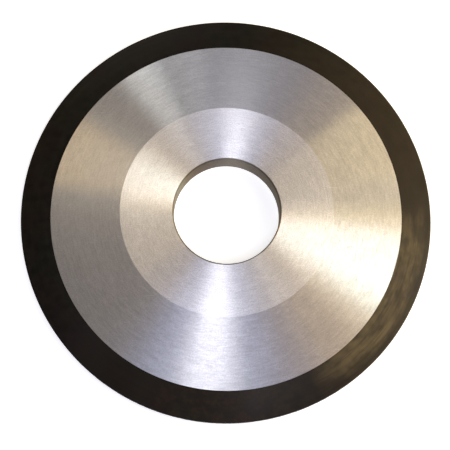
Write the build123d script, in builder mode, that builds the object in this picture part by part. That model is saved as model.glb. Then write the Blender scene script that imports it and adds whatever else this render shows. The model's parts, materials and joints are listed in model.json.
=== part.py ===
"""A single-taper diamond grinding wheel, 125 x 11 x 32 mm.

The wheel lies on its working face. The origin is on the bore's axis, in the plane of that face,
and +Z points up the bore to the tapered side. Three pieces make it up: a turned aluminium core,
a diamond-free resin backing ring moulded into key grooves in the core's rim, and the diamond
layer moulded under the backing. All lengths are in millimetres.
"""

import os
from math import radians, tan

from build123d import *

# Driving dimensions
OUTER_DIAMETER = 125.0
BORE_DIAMETER = 32.0
HUB_DIAMETER = 64.0  # flat clamping seat on the tapered side
THICKNESS = 11.0  # from the working face to the hub's seat
TAPER_ANGLE = 15.0  # degrees, from the hub's edge to the wheel's edge
RIM_WIDTH = 9.3  # radial width of the resin rim
DIAMOND_DEPTH = 2.0  # usable depth of the diamond layer
FACE_RECESS = 1.5  # how far the core's flat side stands back from the working face
BORE_CHAMFER = 0.45
EDGE_BREAK = 0.2  # on the rim's free edges
KEY_COUNT = 2
KEY_RADIUS = 0.45  # half-round grooves that lock the backing to the core
KEY_PITCH = 1.4

# Sizes that follow
OUTER_RADIUS = OUTER_DIAMETER / 2
BORE_RADIUS = BORE_DIAMETER / 2
HUB_RADIUS = HUB_DIAMETER / 2
RIM_RADIUS = OUTER_RADIUS - RIM_WIDTH  # where the core ends and the resin begins
TAPER_SLOPE = tan(radians(TAPER_ANGLE))
RIM_HEIGHT = THICKNESS - (RIM_RADIUS - HUB_RADIUS) * TAPER_SLOPE
EDGE_HEIGHT = THICKNESS - (OUTER_RADIUS - HUB_RADIUS) * TAPER_SLOPE


def key_sections():
    """Adds the round sections of the keys to the current sketch, centred on the core's rim."""
    with Locations((RIM_RADIUS, (DIAMOND_DEPTH + RIM_HEIGHT) / 2)):
        with GridLocations(0, KEY_PITCH, 1, KEY_COUNT):
            Circle(KEY_RADIUS)


# Core: hub and tapered web, turned from one aluminium disc
with BuildPart() as core:
    with BuildSketch(Plane.XZ):
        with BuildLine():
            Polyline(
                (BORE_RADIUS, FACE_RECESS),
                (RIM_RADIUS, FACE_RECESS),
                (RIM_RADIUS, RIM_HEIGHT),
                (HUB_RADIUS, THICKNESS),
                (BORE_RADIUS, THICKNESS),
                close=True,
            )
        make_face()
    revolve(axis=Axis.Z)
    bore_rims = core.edges().filter_by(GeomType.CIRCLE).group_by(SortBy.RADIUS)[0]
    chamfer(bore_rims, BORE_CHAMFER)
    with BuildSketch(Plane.XZ):
        key_sections()
    revolve(axis=Axis.Z, mode=Mode.SUBTRACT)

# Backing ring: diamond-free resin, with half-round keys that fill the core's grooves
with BuildPart() as backing_ring:
    with BuildSketch(Plane.XZ):
        with BuildLine():
            Polyline(
                (RIM_RADIUS, DIAMOND_DEPTH),
                (OUTER_RADIUS, DIAMOND_DEPTH),
                (OUTER_RADIUS, EDGE_HEIGHT),
                (RIM_RADIUS, RIM_HEIGHT),
                close=True,
            )
        make_face()
        key_sections()
    revolve(axis=Axis.Z)
    outer_circles = backing_ring.edges().filter_by(GeomType.CIRCLE).group_by(SortBy.RADIUS)[-1]
    chamfer(outer_circles.sort_by(Axis.Z)[-1], EDGE_BREAK)

# Diamond layer: resin filled with diamond grit, proud of the core's flat side
with BuildPart() as diamond_layer:
    with BuildSketch():
        Circle(OUTER_RADIUS)
        Circle(RIM_RADIUS, mode=Mode.SUBTRACT)
    extrude(amount=DIAMOND_DEPTH)
    chamfer(diamond_layer.edges().group_by(Axis.Z)[0], EDGE_BREAK)

# One STEP file for each piece
core.part.label = "core"
backing_ring.part.label = "backing_ring"
diamond_layer.part.label = "diamond_layer"

os.makedirs("parts", exist_ok=True)
export_step(core.part, "parts/core.step")
export_step(backing_ring.part, "parts/backing_ring.step")
export_step(diamond_layer.part, "parts/diamond_layer.step")
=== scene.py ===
import json
from math import atan, cos, pi, radians, sin, tan

import bpy
from mathutils import Matrix, Vector, noise


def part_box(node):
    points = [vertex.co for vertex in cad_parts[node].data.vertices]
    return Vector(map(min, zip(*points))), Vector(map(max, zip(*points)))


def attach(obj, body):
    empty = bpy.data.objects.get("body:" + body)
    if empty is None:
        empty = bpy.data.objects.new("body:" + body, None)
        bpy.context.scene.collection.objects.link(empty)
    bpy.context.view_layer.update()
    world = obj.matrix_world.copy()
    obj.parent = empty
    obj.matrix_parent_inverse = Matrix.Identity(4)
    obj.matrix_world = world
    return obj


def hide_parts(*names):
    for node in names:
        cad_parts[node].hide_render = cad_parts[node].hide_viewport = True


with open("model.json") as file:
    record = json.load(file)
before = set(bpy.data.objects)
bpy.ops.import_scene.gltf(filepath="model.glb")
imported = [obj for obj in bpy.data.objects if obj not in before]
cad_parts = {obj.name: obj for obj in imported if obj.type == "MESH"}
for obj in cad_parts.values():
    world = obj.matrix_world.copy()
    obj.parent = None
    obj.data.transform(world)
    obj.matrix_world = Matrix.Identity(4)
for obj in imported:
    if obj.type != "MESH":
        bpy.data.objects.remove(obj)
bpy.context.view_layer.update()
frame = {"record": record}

# ---------------------------------------------------------------- sizes, in metres
MM = 0.001
HUB_RADIUS = 32 * MM
TAPER_ANGLE = 15  # degrees
TAPER_SLOPE = tan(radians(TAPER_ANGLE))
BORE_CHAMFER = 0.45 * MM
EDGE_BREAK = 0.2 * MM
KEY_RADIUS = 0.45 * MM
KEY_PITCH = 1.4 * MM

# Roundings that only the visual pieces have
BORE_ROUNDING = 0.06 * MM
SEAM_ROUNDING = 0.03 * MM  # where the core and the backing ring meet on the taper
HUB_ROUNDING = 0.1 * MM
RIM_ROUNDING = 0.1 * MM
LAYER_ROUNDING = 0.08 * MM

TURNS = 720  # facets round each piece
SHARP_ANGLE = 28  # degrees, past which an edge isn't smoothed
PIT_DEPTH = 0.06 * MM
PIT_SPACING = 0.4 * MM  # between points on the pitted layer's profile
COARSE_PITS = 1.1  # noise scales, per millimetre
FINE_PITS = 2.3
PLAIN_MARGIN = 0.1 * MM  # left without pits beside the faces that touch other pieces

mounts = {mount["name"]: mount for mount in frame["record"]["mounts"]}
core_low, core_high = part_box("core")
_, layer_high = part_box("diamond_layer")
BORE_RADIUS = mounts["bore"]["dims"]["r_mm"] * MM
RIM_RADIUS = core_high.x
OUTER_RADIUS = layer_high.x
BACK_HEIGHT = core_low.z
LAYER_HEIGHT = layer_high.z
HUB_HEIGHT = core_high.z


def taper_height(radius):
    """Height of the tapered face at a radius outside the hub."""
    return HUB_HEIGHT - (radius - HUB_RADIUS) * TAPER_SLOPE


# ---------------------------------------------------------------- meshes
def rounded(corner, before, after, size, steps=4):
    """Points that round off one corner of a profile, starting a size before it."""
    corner, before, after = Vector(corner), Vector(before), Vector(after)
    start = corner + (before - corner).normalized() * size
    end = corner + (after - corner).normalized() * size
    points = []
    for step in range(steps + 1):
        t = step / steps
        points.append((1 - t) ** 2 * start + 2 * t * (1 - t) * corner + t**2 * end)
    return [tuple(point) for point in points]


def eased(corners):
    """A closed profile from (radius, height, rounding) corners."""
    profile = []
    for i, (radius, height, size) in enumerate(corners):
        before, after = corners[i - 1][:2], corners[(i + 1) % len(corners)][:2]
        if size:
            profile += rounded((radius, height), before, after, size)
        else:
            profile.append((radius, height))
    return profile


def key_profile(steps=8):
    """The keys' outline on the core's rim, from the lower key up, as profile corners."""
    middle = (LAYER_HEIGHT + taper_height(RIM_RADIUS)) / 2
    corners = []
    for centre in (middle - KEY_PITCH / 2, middle + KEY_PITCH / 2):
        for step in range(steps + 1):
            angle = pi * step / steps
            corners.append((RIM_RADIUS - KEY_RADIUS * sin(angle), centre - KEY_RADIUS * cos(angle), 0))
    return corners


def divided(profile, spacing):
    """Adds points to a closed profile, about a spacing apart, along its longer sides."""
    points = []
    for start, end in zip(profile, profile[1:] + profile[:1]):
        start, end = Vector(start), Vector(end)
        parts = max(1, round((end - start).length / spacing))
        points += [tuple(start.lerp(end, part / parts)) for part in range(parts)]
    return points


def lathe(name, profile, worn=None):
    """Revolves a closed (radius, height) profile about the bore's axis.

    worn takes a point's radius, height and angle, and gives back its radius and height,
    moved a little into the piece.
    """
    ring = len(profile)
    points = []
    for turn in range(TURNS):
        angle = 2 * pi * turn / TURNS
        for r, z in profile:
            if worn:
                r, z = worn(r, z, angle)
            points.append((r * cos(angle), r * sin(angle), z))
    faces = []
    for turn in range(TURNS):
        this, following = turn * ring, (turn + 1) % TURNS * ring
        for i in range(ring):
            j = (i + 1) % ring
            faces.append((this + i, following + i, following + j, this + j))
    mesh = bpy.data.meshes.new(name)
    mesh.from_pydata(points, [], faces)
    mesh.validate()
    mesh.shade_smooth()
    mesh.set_sharp_from_angle(angle=radians(SHARP_ANGLE))
    piece = bpy.data.objects.new(name, mesh)
    bpy.context.scene.collection.objects.link(piece)
    return piece


# ---------------------------------------------------------------- shader nodes
class Nodes:
    """A short way to write a node tree: each call adds a node and links its inputs."""

    def __init__(self, material):
        self.tree = material.node_tree

    def add(self, kind, inputs=None, **settings):
        node = self.tree.nodes.new("ShaderNode" + kind)
        for key, value in settings.items():
            setattr(node, key, value)
        for key, value in (inputs or {}).items():
            self.feed(node.inputs[key], value)
        return node

    def feed(self, socket, value):
        if isinstance(value, bpy.types.NodeSocket):
            self.tree.links.new(value, socket)
        else:
            socket.default_value = value

    def math(self, operation, *values):
        node = self.add("Math", dict(enumerate(values)), operation=operation)
        return node.outputs[0]

    def product(self, *values):
        """Multiplies two or more values."""
        result = values[0]
        for value in values[1:]:
            result = self.math("MULTIPLY", result, value)
        return result

    def noise(self, vector, scale, detail=2.0, roughness=0.5):
        inputs = {"Vector": vector, "Scale": scale, "Detail": detail, "Roughness": roughness}
        return self.add("TexNoise", inputs).outputs["Fac"]

    def ramp(self, factor, low, high, start, end):
        """Maps a factor from low..high to start..end, clamped."""
        inputs = {0: factor, 1: low, 2: high, 3: start, 4: end}
        return self.add("MapRange", inputs).outputs[0]

    def spread(self, factor, start, end):
        """Maps a noise, which mostly stays within 0.3..0.7, to start..end."""
        return self.ramp(factor, 0.3, 0.7, start, end)

    def mix(self, factor, first, second):
        node = self.add("Mix", data_type="RGBA")
        self.feed(node.inputs[0], factor)
        self.feed(node.inputs[6], first)
        self.feed(node.inputs[7], second)
        return node.outputs[2]

    def surface(self, inputs):
        """Ends the tree in a Principled shader."""
        shader = self.add("BsdfPrincipled", inputs)
        self.add("OutputMaterial", {"Surface": shader.outputs[0]})


class WheelNodes(Nodes):
    """Nodes that also hold a point's x, y, z, radius and whole place on the wheel, in millimetres."""

    def __init__(self, material):
        super().__init__(material)
        place = self.add("TexCoord").outputs["Object"]
        parts = self.add("SeparateXYZ", {0: place}).outputs
        self.x = self.product(parts[0], 1 / MM)
        self.y = self.product(parts[1], 1 / MM)
        self.z = self.product(parts[2], 1 / MM)
        squares = self.math("ADD", self.product(self.x, self.x), self.product(self.y, self.y))
        self.radius = self.math("SQRT", squares)
        self.place = self.add("CombineXYZ", {0: self.x, 1: self.y, 2: self.z}).outputs[0]

    def arcs(self, across, along, detail=2.0, roughness=0.6):
        """Noise drawn out into arcs: across is its scale over the arcs, along its scale round the axis."""
        run = self.math("DIVIDE", along, self.radius)
        over = self.product(self.math("ADD", self.radius, self.z), across)
        vector = {0: self.product(self.x, run), 1: self.product(self.y, run), 2: over}
        stretched = self.add("CombineXYZ", vector).outputs[0]
        return self.noise(stretched, 1.0, detail, roughness)

    def facing(self, azimuth):
        """The cosine of the angle round the axis from an azimuth: 1 on it, -1 opposite."""
        turn = radians(azimuth)
        along = self.math("ADD", self.product(self.x, cos(turn)), self.product(self.y, sin(turn)))
        return self.math("DIVIDE", along, self.radius)

    def beyond(self, radius, start, end, before, after):
        """Changes from before to after between two distances beyond a radius, in millimetres."""
        return self.ramp(self.radius, radius / MM + start, radius / MM + end, before, after)

    def scratches(self, turn, seed):
        """Sparse hairline scratches running one way across the faces."""
        turned = self.add("Mapping", {
            "Vector": self.place,
            "Location": (seed, 2 * seed, 0),
            "Rotation": (0, 0, radians(turn)),
            "Scale": (0.12, 2.6, 0.12),
        })
        lines = self.noise(turned.outputs[0], 1.0, detail=1.0)
        return self.ramp(lines, 0.735, 0.77, 0.0, 1.0)


def new_material(name, kind):
    """A material with an empty node tree, and the Nodes or WheelNodes that fills it."""
    material = bpy.data.materials.new(name)
    material.use_nodes = True
    material.node_tree.nodes.clear()
    return material, kind(material)


# ---------------------------------------------------------------- materials
HUB_TONE = (0.80, 0.785, 0.785, 1)
WEB_TONE = (0.58, 0.565, 0.562, 1)
# Painted shade: the bored wall's colour is made dark for the shade inside the hole
BORE_PAINTED_SHADE = (0.22, 0.188, 0.145, 1)
METAL_BUMP = 0.006 * MM  # heights of the bumps
RESIN_BUMP = 0.02 * MM
BOND_BUMP = 0.06 * MM

RESIN_BROWN = (0.009, 0.0055, 0.0045, 1)
RESIN_GREEN = (0.0072, 0.0078, 0.005, 1)
STREAK_COLOUR = (0.003, 0.0025, 0.002, 1)
MOTTLE_COLOUR = (0.002, 0.0015, 0.0015, 1)
# Stain and residue colours, partly painted highlight: they lighten the resin where the lamps' highlights
# fall
STAIN_AND_HIGHLIGHT_COLOUR = (0.13, 0.075, 0.05, 1)
RESIDUE_AND_HIGHLIGHT_COLOUR = (0.125, 0.091, 0.043, 1)
# The residue and stain sides face the lamps and carry painted highlight as well as dirt
EDGE_HIGHLIGHT_AZIMUTH = 0  # middles of the resin's marked sides, in degrees
FILM_HIGHLIGHT_AZIMUTH = 14
SMEAR_HIGHLIGHT_AZIMUTH = -30
STAIN_HIGHLIGHT_AZIMUTH = -92
MATT_AZIMUTH = -112

BOND_DARK = (0.030, 0.028, 0.026, 1)
BOND_PALE = (0.060, 0.055, 0.048, 1)
DIAMOND_TONE = (0.32, 0.32, 0.28, 1)


def turned_aluminium():
    """Fine turned faces: a dull tapered web and back, a brighter hub, and a bored wall darkened with
    painted shade.
    """
    material, nodes = new_material("turned_aluminium", WheelNodes)
    back = nodes.ramp(nodes.z, BACK_HEIGHT / MM + 0.1, BACK_HEIGHT / MM + 0.2, 1.0, 0.0)
    web = nodes.math("MAXIMUM", back, nodes.beyond(HUB_RADIUS, 0.0, 0.1, 0.0, 1.0))
    # Painted shade: this mask darkens the bored wall's colour, and also makes the wall rougher
    bore = nodes.beyond(BORE_RADIUS, 0.30, 0.45, 1.0, 0.0)
    grain = nodes.noise(nodes.place, 3.0, roughness=0.6)
    clouds = nodes.noise(nodes.place, 0.33, detail=4.0, roughness=0.6)
    dashes = nodes.arcs(across=2.8, along=13.0, detail=3.0, roughness=0.65)
    rings = nodes.arcs(across=0.9, along=1.5)
    grooves = nodes.arcs(across=5.0, along=26.0)
    nicks = nodes.math(
        "MAXIMUM",
        nodes.scratches(turn=62, seed=11.0),
        nodes.scratches(turn=-38, seed=47.0),
    )

    tone = nodes.mix(web, HUB_TONE, WEB_TONE)
    tone = nodes.mix(bore, tone, BORE_PAINTED_SHADE)
    speckle = nodes.spread(grain, -0.16, 0.15)
    speckle = nodes.math("MULTIPLY_ADD", speckle, nodes.ramp(web, 0, 1, 1.0, 0.8), 1.0)
    wear = nodes.product(
        speckle,
        nodes.spread(clouds, 0.96, 1.04),
        nodes.spread(dashes, 0.89, 1.09),
        nodes.spread(rings, 0.97, 1.03),
    )
    wear = nodes.math("MULTIPLY_ADD", nicks, 0.16, wear)
    colour = nodes.add("VectorMath", {0: tone, 3: wear}, operation="SCALE").outputs[0]

    rough = nodes.math("ADD", nodes.spread(dashes, 0.03, -0.03), nodes.spread(grain, 0.41, 0.35))
    rough = nodes.math("MULTIPLY_ADD", bore, 0.15, rough)
    height = nodes.math("ADD", grooves, nodes.product(grain, 0.7))
    bump = nodes.add("Bump", {"Height": height, "Strength": 0.35, "Distance": METAL_BUMP})
    tangent = nodes.add("Tangent", direction_type="RADIAL", axis="Z")
    nodes.surface({
        "Base Color": colour,
        "Metallic": 1.0,
        "Roughness": rough,
        "Anisotropic": 1.0,
        "Anisotropic Rotation": 0.25,
        "Tangent": tangent.outputs[0],
        "Normal": bump.outputs[0],
    })
    return material


def dark_resin():
    """Near-black phenolic bond, with a brown residue smeared over one side of it, partly painted highlight
    on the side the lamps light.
    """
    material, nodes = new_material("dark_resin", WheelNodes)
    streaks = nodes.arcs(across=1.6, along=2.5)
    blotches = nodes.arcs(across=0.42, along=8.0, detail=3.0, roughness=0.5)
    tinge = nodes.noise(nodes.place, 0.09)
    grain = nodes.noise(nodes.place, 2.2)
    mottle = nodes.noise(nodes.place, 0.45, detail=3.0, roughness=0.6)

    # Residue and painted highlight: a thin film, a brown line on the outer edge, and patches smeared along
    # arcs, set on the sides where the lamps' highlights fall
    film_and_highlight = nodes.ramp(nodes.facing(FILM_HIGHLIGHT_AZIMUTH), 0.30, 0.95, 0.0, 0.14)
    film_and_highlight = nodes.product(film_and_highlight, nodes.spread(blotches, 0.8, 1.2))
    edge = nodes.product(
        nodes.beyond(OUTER_RADIUS, -0.35, -0.15, 0.0, 0.45),
        nodes.ramp(nodes.facing(EDGE_HIGHLIGHT_AZIMUTH), 0.1, 0.8, 0.0, 1.0),
    )
    patches = nodes.product(
        nodes.ramp(nodes.facing(SMEAR_HIGHLIGHT_AZIMUTH), 0.83, 0.95, 0.0, 0.70),
        nodes.ramp(blotches, 0.40, 0.60, 0.45, 1.2),
        nodes.beyond(OUTER_RADIUS, -3.2, -1.2, 1.0, 0.22),
        nodes.ramp(streaks, 0.36, 0.50, 0.62, 1.0),
    )
    residue = nodes.math("ADD", nodes.math("ADD", film_and_highlight, edge), patches)
    # A reddish stain, partly painted highlight on the side where the front lamps' highlight falls
    stain_and_highlight = nodes.product(
        nodes.ramp(nodes.facing(STAIN_HIGHLIGHT_AZIMUTH), 0.88, 0.98, 0.0, 0.05),
        nodes.ramp(mottle, 0.42, 0.62, 0.0, 1.6),
    )

    bond = nodes.mix(nodes.ramp(tinge, 0.4, 0.6, 0.0, 1.0), RESIN_BROWN, RESIN_GREEN)
    bond = nodes.mix(nodes.ramp(streaks, 0.35, 0.7, 0.5, 0.0), bond, STREAK_COLOUR)
    bond = nodes.mix(nodes.ramp(mottle, 0.35, 0.65, 0.45, 0.0), bond, MOTTLE_COLOUR)
    bond = nodes.mix(stain_and_highlight, bond, STAIN_AND_HIGHLIGHT_COLOUR)
    # Residue, partly painted highlight, mixed over the bond
    colour = nodes.mix(residue, bond, RESIDUE_AND_HIGHLIGHT_COLOUR)

    matt = nodes.ramp(nodes.facing(MATT_AZIMUTH), 0.86, 0.97, 0.0, 0.28)
    rough = nodes.math("ADD", matt, nodes.ramp(mottle, 0.35, 0.65, 0.36, 0.50))
    height = nodes.math("ADD", nodes.product(grain, 0.5), streaks)
    bump = nodes.add("Bump", {"Height": height, "Strength": 0.25, "Distance": RESIN_BUMP})
    nodes.surface({
        "Base Color": colour,
        "Roughness": rough,
        "IOR": 1.31,
        "Specular Tint": (1.0, 0.87, 0.76, 1),
        "Normal": bump.outputs[0],
    })
    return material


def diamond_bond():
    """Gritty dark bond with pale diamond grains standing in it."""
    material, nodes = new_material("diamond_bond", WheelNodes)
    cells = nodes.add("TexVoronoi", {"Vector": nodes.place, "Scale": 5.0}, feature="F1")
    grain = nodes.ramp(cells.outputs["Distance"], 0.05, 0.32, 1.0, 0.0)
    patches = nodes.noise(nodes.place, 0.7, detail=3.0)
    bond = nodes.mix(patches, BOND_DARK, BOND_PALE)
    colour = nodes.mix(nodes.product(grain, 0.5), bond, DIAMOND_TONE)
    rough = nodes.ramp(grain, 0.0, 1.0, 0.75, 0.30)
    bump = nodes.add("Bump", {"Height": grain, "Strength": 0.6, "Distance": BOND_BUMP})
    nodes.surface({
        "Base Color": colour,
        "Roughness": rough,
        "Normal": bump.outputs[0],
    })
    return material


# ---------------------------------------------------------------- the wheel
def finish_piece(piece, node, material):
    piece.data.materials.append(material)
    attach(piece, "root")
    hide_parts(node)


def make_core():
    profile = eased([
        (BORE_RADIUS + BORE_CHAMFER, BACK_HEIGHT, BORE_ROUNDING),
        (RIM_RADIUS, BACK_HEIGHT, 0),
        *key_profile(),
        (RIM_RADIUS, taper_height(RIM_RADIUS), SEAM_ROUNDING),
        (HUB_RADIUS, HUB_HEIGHT, HUB_ROUNDING),
        (BORE_RADIUS + BORE_CHAMFER, HUB_HEIGHT, BORE_ROUNDING),
        (BORE_RADIUS, HUB_HEIGHT - BORE_CHAMFER, BORE_ROUNDING),
        (BORE_RADIUS, BACK_HEIGHT + BORE_CHAMFER, BORE_ROUNDING),
    ])
    finish_piece(lathe("core_body", profile), "core", turned_aluminium())


def make_backing_ring():
    edge_height = taper_height(OUTER_RADIUS)
    profile = eased([
        (RIM_RADIUS, LAYER_HEIGHT, 0),
        (OUTER_RADIUS, LAYER_HEIGHT, 0),
        (OUTER_RADIUS, edge_height - EDGE_BREAK / 2, RIM_ROUNDING),
        (OUTER_RADIUS - EDGE_BREAK, edge_height + EDGE_BREAK * TAPER_SLOPE, RIM_ROUNDING),
        (RIM_RADIUS, taper_height(RIM_RADIUS), SEAM_ROUNDING),
        *reversed(key_profile()),
    ])
    finish_piece(lathe("resin_backing", profile), "backing_ring", dark_resin())


def pitted(r, z, angle):
    """Opens shallow pits between the grains on the layer's bare faces."""
    by_core = z > BACK_HEIGHT - PLAIN_MARGIN and r < OUTER_RADIUS - PLAIN_MARGIN
    by_backing = z > LAYER_HEIGHT - PLAIN_MARGIN
    if by_core or by_backing:
        return r, z
    place = Vector((r * cos(angle), r * sin(angle), z)) / MM
    wear = 1.6 * noise.noise(place * COARSE_PITS) + 0.9 * noise.noise(place * FINE_PITS)
    depth = PIT_DEPTH * min(1, max(0, wear))
    if z < EDGE_BREAK:
        z += depth
    if r > OUTER_RADIUS - EDGE_BREAK:
        r -= depth
    if r < RIM_RADIUS + EDGE_BREAK:
        r += depth
    return r, z


def make_diamond_layer():
    profile = eased([
        (RIM_RADIUS, EDGE_BREAK, LAYER_ROUNDING),
        (RIM_RADIUS + EDGE_BREAK, 0, LAYER_ROUNDING),
        (OUTER_RADIUS - EDGE_BREAK, 0, LAYER_ROUNDING),
        (OUTER_RADIUS, EDGE_BREAK, LAYER_ROUNDING),
        (OUTER_RADIUS, LAYER_HEIGHT, 0),
        (RIM_RADIUS, LAYER_HEIGHT, 0),
    ])
    layer = lathe("diamond_abrasive", divided(profile, PIT_SPACING), worn=pitted)
    finish_piece(layer, "diamond_layer", diamond_bond())


make_core()
make_backing_ring()
make_diamond_layer()


# ---------------------------------------------------------------- studio
FLOOR_REACH = 4.0  # metres, from the middle to each side
FLOOR_DROP = 0.02 * MM  # keeps the floor just clear of the wheel's face
FLOOR_GLOW = 0.60
WORLD_GLOW = 0.12
PANEL_DISTANCE = 0.5  # metres

HALF_VIEW = 9 / 56  # tangent of half the lens's angle
CAMERA_TILT = 12.0  # degrees off the bore's axis, towards the front
CAMERA_PAN = -1.2  # degrees, about the tilted Y axis
CAMERA_PLACE = (-0.408 * MM, -2.554 * MM, 426.8 * MM)  # in the turned axes


def pale_floor():
    material, nodes = new_material("pale_floor", Nodes)
    nodes.surface({
        "Base Color": (0.9, 0.9, 0.9, 1),
        "Roughness": 0.9,
        "Emission Color": (1, 1, 1, 1),
        "Emission Strength": FLOOR_GLOW,
    })
    low, high = -FLOOR_REACH, FLOOR_REACH
    mesh = bpy.data.meshes.new("floor")
    mesh.from_pydata([(low, low, 0), (high, low, 0), (high, high, 0), (low, high, 0)], [], [(0, 1, 2, 3)])
    mesh.materials.append(material)
    floor = bpy.data.objects.new("floor", mesh)
    bpy.context.scene.collection.objects.link(floor)
    floor.location.z = -FLOOR_DROP


def soft_light(name, azimuth, elevation, across, upright, colour, strength):
    """A panel aimed at the wheel: its place and its size as seen from the wheel, in degrees."""
    light = bpy.data.lights.new(name, "AREA")
    light.shape = "RECTANGLE"
    light.size = 2 * PANEL_DISTANCE * tan(radians(across / 2))
    light.size_y = 2 * PANEL_DISTANCE * tan(radians(upright / 2))
    light.color = colour
    light.energy = strength * pi * light.size * light.size_y
    lamp = bpy.data.objects.new(name, light)
    bpy.context.scene.collection.objects.link(lamp)
    turn = Matrix.Rotation(radians(azimuth + 90), 4, "Z")
    lift = Matrix.Rotation(radians(90 - elevation), 4, "X")
    lamp.matrix_world = turn @ lift @ Matrix.Translation((0, 0, PANEL_DISTANCE))


def world_light(colour, strength):
    world = bpy.data.worlds.new("studio")
    world.use_nodes = True
    background = world.node_tree.nodes["Background"]
    background.inputs[0].default_value = (*colour, 1)
    background.inputs[1].default_value = strength
    bpy.context.scene.world = world


def camera():
    """The photograph's view, placed from the point on the axis level with the wheel's edge."""
    lens = bpy.data.cameras.new("camera")
    lens.sensor_width = 36.0
    lens.angle = 2 * atan(HALF_VIEW)
    eye = bpy.data.objects.new("camera", lens)
    bpy.context.scene.collection.objects.link(eye)
    centre = Matrix.Translation((0, 0, taper_height(OUTER_RADIUS)))
    tilt = Matrix.Rotation(radians(CAMERA_TILT), 4, "X")
    pan = Matrix.Rotation(radians(CAMERA_PAN), 4, "Y")
    eye.matrix_world = centre @ tilt @ pan @ Matrix.Translation(CAMERA_PLACE)
    bpy.context.scene.camera = eye


pale_floor()
world_light((1.0, 1.0, 1.0), WORLD_GLOW)

# Each panel's name, azimuth, elevation, width and height in degrees, colour and strength.
# A window on the right, with warmer panels beside it
soft_light("window", -4, 42, 20, 40, (1.0, 1.0, 0.95), 3.6)
soft_light("window_left", -20, 42, 8, 40, (1.0, 0.65, 0.2), 1.3)
soft_light("window_right", 12, 42, 8, 40, (1.0, 0.7, 0.2), 1.1)
soft_light("warm_right", 40, 42, 38, 40, (1.0, 0.75, 0.5), 0.6)
soft_light("warm_left", -36, 42, 20, 40, (1.0, 0.7, 0.4), 1.0)
soft_light("front_warm", -60, 35, 20, 30, (1.0, 0.8, 0.9), 0.5)

# Lower and higher panels on the same side
soft_light("low_lamp", 36, 16, 24, 20, (1.0, 0.8, 0.4), 4.0)
soft_light("low_middle", 12, 16, 24, 20, (1.0, 0.85, 0.5), 2.6)
soft_light("low_window", -16, 16, 16, 20, (0.7, 1.0, 0.9), 3.8)
soft_light("high", 19, 68, 14, 16, (1.0, 0.85, 0.6), 2.7)

# Panels in front and behind, a low warm one at the back left, and one overhead
soft_light("front", -97, 68, 10, 16, (0.95, 0.95, 1.0), 9.9)
soft_light("front_wide", -98, 68, 30, 16, (0.45, 0.57, 1.0), 2.6)
soft_light("back", 113, 28, 9, 16, (1.0, 0.95, 0.8), 3.0)
soft_light("back_side", 100, 28, 9, 16, (0.95, 1.0, 1.0), 1.6)
soft_light("back_low", 113, 12, 11, 14, (0.6, 0.8, 1.0), 3.0)
soft_light("side_low", 147, 14, 22, 16, (1.0, 0.6, 0.1), 3.1)
soft_light("overhead", 90, 86, 26, 26, (1.0, 0.88, 0.84), 1.1)

camera()
bpy.context.scene.view_settings.view_transform = "Standard"
